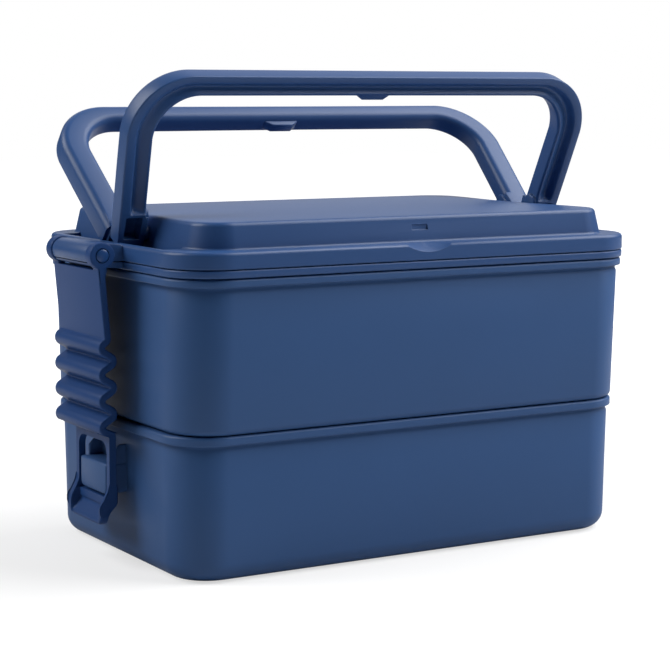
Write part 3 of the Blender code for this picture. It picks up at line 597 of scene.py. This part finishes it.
def makeTrough():
    # cutter for one end's trough, between the ledge's rim and the plateau's bowed end wall
    outer = inset(box["lidPlan"], lid["troughRim"])
    high, floorZ, steps = ledgeTop + 3, lid["troughFloor"], lid["cornerSteps"]
    slab = block("trough", (lid["plateau"][0] - 20, -lid["troughHalfLength"], floorZ),
                 (box["lidPlan"][0] + 5, lid["troughHalfLength"], high))
    slab = softened(slab, lid["troughEdge"], 4)
    pocket = lofted("pocket", [ringPoints(outer, floorZ - 1, steps), ringPoints(outer, high + 1, steps)])
    wallFace = inset(lid["plateau"], -0.05)
    keep = lofted("keep", [ringPoints(wallFace, floorZ - 2, steps, lid["waist"]),
                           ringPoints(wallFace, high + 2, steps, lid["waist"])])
    return joined(slab, [("INTERSECT", pocket), ("DIFFERENCE", keep)])


def makeScoop():
    # tilted drum that cuts the finger scoop in the ledge's front edge
    half, drop = lid["scoopLength"] / 2, lid["scoopDrop"]
    radius = (half ** 2 + drop ** 2) / (2 * drop)
    run = box["lidPlan"][1] - lid["plateau"][1] - 1
    drum = rod("scoop", "Y", radius, -2 * run, math.hypot(run, drop), (0, 0, radius), 180)
    drum.data.transform(Matrix.Rotation(math.atan2(drop, run), 4, "X"))
    drum.data.transform(Matrix.Translation((0, -box["lidPlan"][1], ledgeTop - drop)))
    return drum


def makeLidCover():
    cover = lofted("lidCover", coverRings())
    foot, root = skirtFoot + box["gap"] / 2, box["lidPlan"][0] - 1.5
    start = -math.degrees(math.asin((hinge["z"] - foot) / hinge["knuckle"]))
    shoulder = [(root, foot)] + arc(hinge["x"], hinge["z"], hinge["knuckle"], start, 90, 28)
    shoulder += [(root + 2.5, ledgeTop + 0.1), (root, ledgeTop - 1)]
    tools = [("UNION", prism("shoulder", shoulder, -knuckleHalf, knuckleHalf, edge=hinge["edge"])),
             ("DIFFERENCE", rod("pinBore", "Y", hinge["pin"] + lid["boreClearance"], -knuckleHalf - 1,
                                knuckleHalf + 1, (hinge["x"], 0, hinge["z"]))),
             ("DIFFERENCE", makeTrough())]
    for side in (-1, 1):
        bore = rod("trunnionBore", "X", handle["trunnion"] + lid["boreClearance"], trunnionTip() - 4,
                   lid["plateau"][0] + 0.3, (0, side * handle["pivotY"], handle["pivotZ"]))
        tools.append(("DIFFERENCE", bore))
    length, height, depth = lid["slot"]
    middle = plateauTop - lid["slotDrop"]
    face = plateauWallY(middle)
    slot = block("slot", (-length / 2, -face - 2, middle - height / 2),
                 (length / 2, -face + depth, middle + height / 2))
    tools += [("DIFFERENCE", softened(slot, lid["slotEdge"])), ("DIFFERENCE", makeScoop())]
    return joined(cover, twice(tools, halfTurn))


# Handles: a shell that is open to the front, with a heel in the trough at each end

handle = {
    "halfWidth": 103.8, "reach": 64.5, "low": -2.4, "high": 7.0, "legWidth": 11.2, "gripWidth": 8.4,
    "splay": 3.0, "outerRadius": 24.0, "innerRadius": 17.0, "backRadius": 3.0,
    "rim": 4.1, "rimEdge": 0.6, "channel": 3.0, "channelWall": 1.9, "flange": 0.8, "roll": 1.1,
    "channelEnd": 8.8, "runOut": 4.2, "pocketTop": 7.8, "pocketDepth": 5.5, "pocketLength": 9,
    "heel": 5.2, "heelClearance": 0.02, "heelChamfer": 1.2, "tail": 3.3, "boss": 4.8,
    "heelEdge": 0.3, "bossEdge": 0.9, "pocketEdge": 0.5, "pocketBar": 2.4, "pocketRim": 0.6,
    "pivotY": 7.5, "pivotZ": 123.8, "trunnion": 2.6, "nub": (16.0, 9.5, 4.0), "nubEdge": 0.7,
    "frontLean": 22.0, "backLean": 48.0,
}


def smooth(share):
    share = min(max(share, 0.0), 1.0)
    return share * share * (3 - 2 * share)


def handleSection(inner, outer, depth):
    # closed outline from the inner to the outer edge; depth is that of the channel, 0 to 1
    across = outer - inner
    width = across.length
    across.normalize()
    low, high, back = handle["low"], handle["high"], handle["backRadius"]
    rim, edge = handle["rim"] * width / handle["legWidth"], handle["rimEdge"]
    roll = handle["roll"]
    flange, deep = handle["flange"] * depth, handle["channel"] * depth
    # n runs from the outer edge to the inner one
    flat = [(n, low + t) for n, t in arc(edge, edge, edge, 180, 270, 4)]
    flat += [(rim - edge, low)]
    first, bottom, last = rim - edge, rim + handle["channelWall"], width - roll
    for step in range(1, 20):
        n = first + (last - first) * step / 20
        drop = deep * smooth((n - first) / (bottom - first))
        rise = (deep - flange) * smooth((n - bottom) / (last + 1 - bottom))
        flat.append((n, low + drop - rise))
    end = low + deep - (deep - flange) * smooth((last - bottom) / (last + 1 - bottom))
    flat += [(n, t) for n, t in arc(last, end + roll, roll, -90, 0, 6)]
    flat += arc(width - back, high - back, back, 0, 90, 8)
    flat += [(width / 2, high)]
    flat += arc(back, high - back, back, 90, 180, 8)
    return [(outer.x - across.x * n, t, outer.y - across.y * n) for n, t in flat]


def handleStations():
    outerX, innerX = handle["halfWidth"], handle["halfWidth"] - handle["legWidth"]
    outerS, innerS = handle["reach"], handle["reach"] - handle["gripWidth"]
    outerCentre = Vector((outerX - handle["outerRadius"], outerS - handle["outerRadius"]))
    innerCentre = Vector((innerX - handle["innerRadius"], innerS - handle["innerRadius"]))
    # the legs splay from their feet to the bend, beside the waisted plateau
    legs = [(-handle["tail"], 0.0), (2.0, 0.0), (6.0, 0.0)]
    legs += [(handle["channelEnd"] + handle["runOut"] * step / 8, math.sqrt(1 - (1 - step / 8) ** 2))
             for step in range(9)]
    stations = []
    for s, depth in [*legs, (26.0, 1.0)]:
        shift = handle["splay"] * (1 - s / innerCentre.y)
        stations.append((Vector((innerX - shift, s)), Vector((outerX - shift, s)), depth))
    for step in range(29):
        angle = math.radians(90) * step / 28
        spoke = Vector((math.cos(angle), math.sin(angle)))
        stations.append((innerCentre + handle["innerRadius"] * spoke,
                         outerCentre + handle["outerRadius"] * spoke, 1.0))
    for share in (0.75, 0.5, 0.25, 0.0):
        stations.append((Vector((innerCentre.x * share, innerS)),
                         Vector((outerCentre.x * share, outerS)), 1.0))
    return stations


def makeHandle():
    half = [handleSection(*station) for station in handleStations()]
    other = [[(-x, y, z) for x, y, z in ring] for ring in half[-2::-1]]
    bail = lofted("handle", half + other)
    inner = handle["halfWidth"] - handle["legWidth"] - handle["splay"]
    heelOuter = box["lidPlan"][0] - lid["troughRim"] - box["gap"]
    low, high, heel = handle["low"], handle["high"], handle["heel"]
    clear, chamfer, radius = handle["heelClearance"], handle["heelChamfer"], handle["boss"]
    reach = math.degrees(math.asin(heel / high))
    outline = [(low, handle["channelEnd"] - 1), (low, chamfer - heel), (low + chamfer, -heel)]
    outline += arc(0, 0, high - clear, -reach, 0, 12) + [(high - clear, handle["channelEnd"] - 1)]
    # boss round the trunnion, against the plateau's end wall
    bossFace = plateauWallX(handle["pivotY"] + radius, handle["pivotZ"] - radius) + box["gap"]
    bossTop = handle["channelEnd"] + 1.5
    boss = [(low + 0.4, bossTop - 2), (low + 0.4, -1.5), (low + 2, -3.6)] + arc(0, 0, radius, -80, 0, 10)
    boss += [(radius, bossTop - 2), (3.2, bossTop), (low + 2, bossTop)]
    # pocket that lightens the heel, open to the front
    mouth, floor = low - 1, low + handle["pocketDepth"]
    top, foot = handle["pocketTop"], handle["pocketTop"] - handle["pocketLength"]
    pocket = [(mouth, foot), (floor, foot), (floor, top), (mouth, top)]
    pocketIn, pocketOut = inner + handle["pocketBar"], heelOuter - handle["pocketRim"]
    tools = [("UNION", prism("heel", outline, inner + clear, heelOuter, "X", handle["heelEdge"])),
             ("UNION", prism("boss", boss, bossFace, inner + 1.5, "X", handle["bossEdge"])),
             ("DIFFERENCE", prism("pocket", pocket, pocketIn, pocketOut, "X", handle["pocketEdge"])),
             ("UNION", rod("trunnion", "X", handle["trunnion"], trunnionTip(), inner + 0.5, (0, 0, 0)))]
    steps = twice(tools, Matrix.Diagonal((-1, 1, 1, 1)))
    long, short, thick = handle["nub"]
    grip = handle["reach"] - handle["gripWidth"]
    slotZ = plateauTop - lid["slotDrop"]
    end = plateauWallY(slotZ) + box["gap"] - handle["pivotY"]
    middle = slotZ - handle["pivotZ"]
    nub = [(-long / 2, grip + 1), (-long / 2, grip), (-short / 2, end),
           (short / 2, end), (long / 2, grip), (long / 2, grip + 1)]
    low, high = middle - thick / 2, middle + thick / 2
    steps.append(("UNION", prism("nub", nub, low, high, "Y", handle["nubEdge"])))
    return joined(bail, steps)


place(makeLidFrame(), "lid_frame", "lid", "lid")
place(makeLidCover(), "lid_cover", "lid", "lid")
print("lid made")
bail = makeHandle()
turned = changed(bail)
place(bail, "handle_front", "front_handle", "lid",
      Matrix.Translation(Vector((0, -handle["pivotY"], handle["pivotZ"])) * mm)
      @ Matrix.Rotation(math.radians(handle["frontLean"]), 4, "X"))
place(turned, "handle_back", "back_handle", "lid",
      Matrix.Translation(Vector((0, handle["pivotY"], handle["pivotZ"])) * mm) @ halfTurn
      @ Matrix.Rotation(math.radians(handle["backLean"]), 4, "X"))
print("handles made")


# Straps: a folded band swept by Geometry Nodes, with eyes above and a windowed buckle below

strap = {
    "thickness": 2.7, "edge": 0.55, "panelTop": -5.4, "panelLength": 26.2, "lean": 2.4, "neck": 5,
    "ridges": 4, "pitch": 9.9, "depth": 4.6, "face": 2.2, "fold": 1.9, "runIn": 2.6, "shoulder": 2.2,
    "buckleHalf": 15.5, "windowHalf": 12.9, "windowFoot": 25.5, "windowTop": 46.6, "windowRadius": 4.5,
    "eyeEdge": 0.45, "boreClearance": 0.3,
}
tab = {
    # heights are above the floor; a rise is the height over which a curve eases in
    "foot": 15.4, "flare": 3.6, "curl": 3.2, "cornerRadius": 4.6, "cheekTop": 29.4, "cheekRise": 9.5,
    "dishTop": 22.0, "dishRise": 5.6, "dishSunk": 0.5, "curlRise": 8.5, "tipRadius": 1.1,
    "cornerRise": 9.0, "edge": 0.6, "cheekLead": 0.9, "cheekRun": 1.0,
}


def sweepTree():
    # path vertices carry a bend radius; the band is a rounded bar swept along the rounded path
    tree, given = newTree("foldedBand", "Band", {
        "Path": "Geometry", "Width": "Float", "Thickness": "Float", "Edge Radius": "Float",
        "Plastic": "Material"})
    path = addNode(tree, "GeometryNodeMeshToCurve", Mesh=given["Path"])
    bend = addNode(tree, "GeometryNodeInputNamedAttribute", {"data_type": "FLOAT"}, Name="bend")
    path = addNode(tree, "GeometryNodeFilletCurve", {"mode": "POLY"}, Curve=path, Count=8,
                   Radius=bend, Limit_Radius=True)
    path = addNode(tree, "GeometryNodeSetCurveNormal", {"mode": "FREE"}, Curve=path, Normal=(0, 1, 0))
    bar = addNode(tree, "GeometryNodeCurvePrimitiveQuadrilateral", Width=given["Width"],
                  Height=given["Thickness"])
    bar = addNode(tree, "GeometryNodeFilletCurve", {"mode": "POLY"}, Curve=bar, Count=4,
                  Radius=given["Edge Radius"], Limit_Radius=True)
    band = addNode(tree, "GeometryNodeCurveToMesh", Curve=path, Profile_Curve=bar, Fill_Caps=True)
    band = addNode(tree, "GeometryNodeRealizeInstances", Geometry=band)
    band = addNode(tree, "GeometryNodeSetMaterial", Geometry=band, Material=given["Plastic"])
    addNode(tree, "NodeGroupOutput", Band=band)
    return tree


foldedBand = sweepTree()


def strapPath():
    # middle line of the band as (X, Z) from the pin
    crest = ridgeLine - hinge["x"]
    valley = crest - strap["depth"]
    buckle = strapFace - strap["thickness"] / 2 - hinge["x"]
    top = strap["panelTop"]
    foot = top - strap["panelLength"]
    points = [(crest, top), (crest - strap["lean"], foot)]
    first, half = foot - strap["runIn"], strap["face"] / 2
    for number in range(strap["ridges"]):
        middle = first - number * strap["pitch"]
        points += [(crest, middle + half), (crest, middle - half)]
        if number < strap["ridges"] - 1:
            low = middle - strap["pitch"] / 2
            points += [(valley, low + half), (valley, low - half)]
    last = first - (strap["ridges"] - 1) * strap["pitch"]
    points += [(buckle, last - half - strap["runIn"]), (buckle, strap["windowFoot"] - 3 - hinge["z"])]
    return points, last - strap["shoulder"]


def sweptBand(name, points, width):
    verts = [(x, 0, z) for x, z in points]
    item = meshObject(name, verts, edges=[(here, here + 1) for here in range(len(verts) - 1)])
    bends = [0.0] + [strap["fold"]] * (len(verts) - 2) + [0.0]
    item.data.attributes.new("bend", "FLOAT", "POINT").data.foreach_set("value", bends)
    setInputs(item, foldedBand, {"Width": width, "Thickness": strap["thickness"],
                                 "Edge Radius": strap["edge"], "Plastic": finish["strap"]})
    return settled(item)


def tabSection(y):
    # side outline of the tab at a distance y from its middle, X from the pin and Z from the floor
    face, back = strapFace - hinge["x"], strapFace - hinge["x"] - strap["thickness"]
    top, foot, flare, tipRadius = tab["cheekTop"] + 1.0, tab["foot"], tab["flare"], tab["tipRadius"]
    cheek = smooth((abs(y) - strap["windowHalf"] + tab["cheekLead"]) / tab["cheekRun"])
    front = []
    for step in range(17):
        z = top + (foot + tipRadius - top) * step / 16
        high = flare * smooth((tab["cheekTop"] - z) / tab["cheekRise"]) ** 0.8
        low = (flare + 0.2) * smooth((tab["dishTop"] - z) / tab["dishRise"]) - tab["dishSunk"]
        front.append((face + cheek * high + (1 - cheek) * min(low, high), z))
    tip = front[-1]
    turn = [(tip[0] - tipRadius + tipRadius * math.cos(angle), tip[1] - tipRadius * math.sin(angle))
            for angle in (math.radians(15 * step) for step in range(1, 7))]
    rear = []
    for step in range(13):
        z = foot + (top - foot) * step / 12
        rear.append((back + tab["curl"] * (1 - smooth((z - foot) / tab["curlRise"])), z))
    # the foot rises towards the rounded corners
    radius, half = tab["cornerRadius"], strap["buckleHalf"]
    past = max(abs(y) - (half - radius), 0.0)
    lift = radius - math.sqrt(max(radius ** 2 - past ** 2, 0.0))
    return [(x, z + lift * max(0.0, 1 - (z - foot) / tab["cornerRise"])) for x, z in front + turn + rear]


def makeTab():
    half, edge = strap["buckleHalf"], tab["edge"]

    def section(y, amount=0.0):
        # from the pin, and drawn in by an amount at the rounded ends
        flat = [Vector((x, z - hinge["z"])) for x, z in tabSection(y)]
        drawn = []
        for here, point in enumerate(flat):
            along = (flat[(here + 1) % len(flat)] - flat[here - 1]).normalized()
            drawn.append(point + Vector((-along.y, along.x)) * amount)
        return [(point.x, y, point.y) for point in drawn]

    # sections lie close together where the dish runs into its cheek
    spots = [step * 12.0 / 10 for step in range(11)] + [12.15 + 0.1 * step for step in range(11)]
    spots += [13.4, 13.8, 14.2, 14.5, 14.7]
    rings = [section(y) for y in [-y for y in spots[:0:-1]] + spots]
    for angle in (25, 50, 70, 85):
        y = half - edge + edge * math.sin(math.radians(angle))
        amount = edge * (1 - math.cos(math.radians(angle)))
        rings.append(section(y, amount))
        rings.insert(0, section(-y, amount))
    return lofted("tab", rings)


def bothSides(near, far):
    # one span along Y on each side of the middle
    return (-far, -near), (near, far)


def makeStrap():
    # in the pin's own place, for the right end
    points, shoulder = strapPath()
    band = sweptBand("strap", points, 2 * hinge["halfWidth"])
    face = strapFace - hinge["x"]
    foot = strap["windowFoot"] - hinge["z"]
    steps = []
    for low, high in bothSides(strap["buckleHalf"], hinge["halfWidth"] + 2):
        cut = block("sideCut", (face - 8, low, foot - 12), (face + 12, high, shoulder))
        steps.append(("DIFFERENCE", cut))
    steps.append(("UNION", makeTab()))
    half, radius = strap["windowHalf"], strap["windowRadius"]
    top = strap["windowTop"] - hinge["z"]
    window = [(-half, foot), (half, foot)] + arc(half - radius, top - radius, radius, 0, 90, 10)
    window += arc(radius - half, top - radius, radius, 90, 180, 10)
    steps.append(("DIFFERENCE", prism("window", window, face - 6, face + 6, "X")))
    crest, halfThick = ridgeLine - hinge["x"], strap["thickness"] / 2
    neck, top = strap["panelTop"] - strap["neck"], strap["panelTop"]
    lean = strap["lean"] * strap["neck"] / strap["panelLength"]
    eye = [(crest + halfThick - lean, neck), (crest + halfThick, top + 0.5)]
    eye += arc(0, 0, hinge["eye"], -60, 240, 44)
    eye += [(crest - halfThick, top + 0.5), (crest - halfThick - lean, neck)]
    end = hinge["halfWidth"]
    for low, high in bothSides(end - hinge["eyeWidth"], end):
        steps.append(("UNION", prism("eye", eye, low, high, "Y", strap["eyeEdge"])))
    bores = [("pin", (-end - 1, end + 1))]
    bores += [("head", span) for span in bothSides(end - hinge["headLength"], end + 1)]
    for key, (low, high) in bores:
        bore = rod("eyeBore", "Y", hinge[key] + strap["boreClearance"], low, high, (0, 0, 0))
        steps.append(("DIFFERENCE", bore))
    return joined(band, steps)


def makePin():
    # domed pin, turned about its own axis
    end, head = hinge["halfWidth"], hinge["head"]
    shaft = end - hinge["headLength"] + box["gap"]
    half = [(hinge["pin"], shaft), (head, shaft), (head, end - 0.2)]
    half += [(head * math.cos(angle), end + hinge["dome"] * math.sin(angle))
             for angle in (math.radians(90) * step / 8 for step in range(8))]
    half.append((0.01, end + hinge["dome"]))
    spin = [2 * math.pi * step / 40 for step in range(40)]
    return lofted("pin", [[(radius * math.cos(angle), y, radius * math.sin(angle)) for angle in spin]
                          for radius, y in [(radius, -y) for radius, y in half[::-1]] + half])


strapItem = makeStrap()
pinItem = makePin()
for side, turn, half in (("right", Matrix(), 1), ("left", halfTurn, -1)):
    stand = Matrix.Translation(Vector((half * hinge["x"], 0, hinge["z"])) * mm) @ turn
    place(changed(strapItem), "strap_" + side, side + "_strap", "strap", stand)
    place(changed(pinItem), "strap_pin_" + side, "lid", "pin", stand)
bpy.data.objects.remove(strapItem, do_unlink=True)
bpy.data.objects.remove(pinItem, do_unlink=True)
for node in ("tier_seal", "lid_seal"):
    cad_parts[node].data.materials.clear()
    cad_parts[node].data.materials.append(finish["seal"])
print("straps made")


# Studio: the photograph's camera, a pale floor and soft lights

studio = {
    # the photo's upright edges stay nearly parallel, so the lens is shifted, with its axis at this row
    "cameraPlace": (-403.87, -676.70, 177.51),
    "yaw": 30.776, "pitch": 4.778, "roll": 0.064,
    "focalPixels": 1955.9, "axisRow": 254.4, "imagePixels": 670, "sensorWidth": 36.0,
}


def makeCamera():
    yaw, pitch, roll = (math.radians(studio[key]) for key in ("yaw", "pitch", "roll"))
    ahead = Vector((math.sin(yaw) * math.cos(pitch), math.cos(yaw) * math.cos(pitch), -math.sin(pitch)))
    right = Vector((math.cos(yaw), -math.sin(yaw), 0))
    up = right.cross(ahead)
    turned = right * math.cos(roll) + up * math.sin(roll)
    up = up * math.cos(roll) - right * math.sin(roll)
    data = bpy.data.cameras.new("photoCamera")
    data.sensor_width = studio["sensorWidth"]
    data.lens = studio["focalPixels"] / studio["imagePixels"] * studio["sensorWidth"]
    data.shift_y = studio["axisRow"] / studio["imagePixels"] - 0.5
    data.clip_start = 0.01
    camera = bpy.data.objects.new("photoCamera", data)
    bpy.context.collection.objects.link(camera)
    axes = Matrix((turned, up, -ahead)).transposed()
    camera.matrix_world = Matrix.Translation(Vector(studio["cameraPlace"]) * mm) @ axes.to_4x4()
    bpy.context.scene.camera = camera


lampAim = (0, 0, 0.09)       # middle of the box, in metres
lamps = {
    # name: azimuth and elevation in degrees, distance and size in metres, power in watts
    "rightFront": (-22, 45, 1.7, 1.8, 54),
    "leftBack": (149, 38, 1.7, 1.2, 25),
    "behind": (60, 35, 1.7, 1.8, 6.5),
}
roomLight = {"ambient": 0.0, "inGloss": 0.05}


def makeLamps():
    for name, (azimuth, elevation, distance, size, power) in lamps.items():
        data = bpy.data.lights.new(name, "AREA")
        data.shape = "DISK"
        data.size = size
        data.energy = power
        lamp = bpy.data.objects.new(name, data)
        lamp.visible_camera = False
        bpy.context.collection.objects.link(lamp)
        around, up = math.radians(azimuth), math.radians(elevation)
        aim = Vector((math.cos(around) * math.cos(up), math.sin(around) * math.cos(up), math.sin(up)))
        lamp.location = Vector(lampAim) + aim * distance
        lamp.rotation_euler = aim.to_track_quat("Z", "Y").to_euler()


def directRay(tree):
    # 1 where the background is seen directly or through a clear piece, and inGloss where it is mirrored
    rays = addNode(tree, "ShaderNodeLightPath")
    mirrored = addNode(tree, "ShaderNodeMath", {"operation": "MULTIPLY"},
                       i0=rays.outputs["Is Glossy Ray"], i1=roomLight["inGloss"])
    seen = addNode(tree, "ShaderNodeMath", {"operation": "MAXIMUM"}, i1=mirrored,
                   i0=rays.outputs["Is Camera Ray"])
    return addNode(tree, "ShaderNodeMath", {"operation": "MAXIMUM"}, i0=seen,
                   i1=rays.outputs["Is Transmission Ray"])


def makeWorld():
    world = bpy.data.worlds.new("paleStudio")
    world.use_nodes = True
    tree = world.node_tree
    back = tree.nodes["Background"]
    back.inputs["Color"].default_value = (1, 1, 1, 1)
    strength = addNode(tree, "ShaderNodeMapRange", Value=directRay(tree), To_Min=roomLight["ambient"],
                       To_Max=1.0)
    tree.links.new(strength.outputs["Result"], back.inputs["Strength"])
    bpy.context.scene.world = world


floorLook = {
    # sizes in metres; card is the grey that lights the box, cardSeen and glow make what the eye sees
    "halfSize": 4.0, "drop": 0.00005, "card": 0.60, "cardSeen": 0.36, "glow": 0.62,
    "nearRadius": 0.30, "farRadius": 0.60,
}


def makeFloor():
    half = floorLook["halfSize"]
    corners = [(-half, -half, 0), (half, -half, 0), (half, half, 0), (-half, half, 0)]
    floor = meshObject("studioFloor", corners, [(0, 1, 2, 3)])
    floor.location.z = -floorLook["drop"]
    material = bpy.data.materials.new("whiteCard")
    material.use_nodes = True
    tree = material.node_tree
    tree.nodes.clear()
    # near the box the card shows its shadow; further out it runs into the white background
    point = addNode(tree, "ShaderNodeTexCoord").outputs["Object"]
    distance = addNode(tree, "ShaderNodeVectorMath", {"operation": "LENGTH"}, i0=point).outputs["Value"]
    far = addNode(tree, "ShaderNodeMapRange", {"interpolation_type": "SMOOTHSTEP"}, Value=distance,
                  From_Min=floorLook["nearRadius"], From_Max=floorLook["farRadius"])
    glow = addNode(tree, "ShaderNodeMapRange", Value=far, To_Min=floorLook["glow"], To_Max=1.0)
    shade = floorLook["cardSeen"]
    card = addNode(tree, "ShaderNodeBsdfDiffuse", Color=(shade, shade, shade, 1))
    light = addNode(tree, "ShaderNodeEmission", Color=(1, 1, 1, 1), Strength=glow)
    seen = addNode(tree, "ShaderNodeAddShader", i0=card, i1=light)
    dim = floorLook["card"]
    plain = addNode(tree, "ShaderNodeBsdfDiffuse", Color=(dim, dim, dim, 1))
    pick = addNode(tree, "ShaderNodeMixShader", Fac=directRay(tree), i1=plain, i2=seen)
    addNode(tree, "ShaderNodeOutputMaterial", Surface=pick)
    floor.data.materials.append(material)


makeCamera()
makeLamps()
makeWorld()
makeFloor()
bpy.context.scene.view_settings.view_transform = "Standard"
print("studio made")
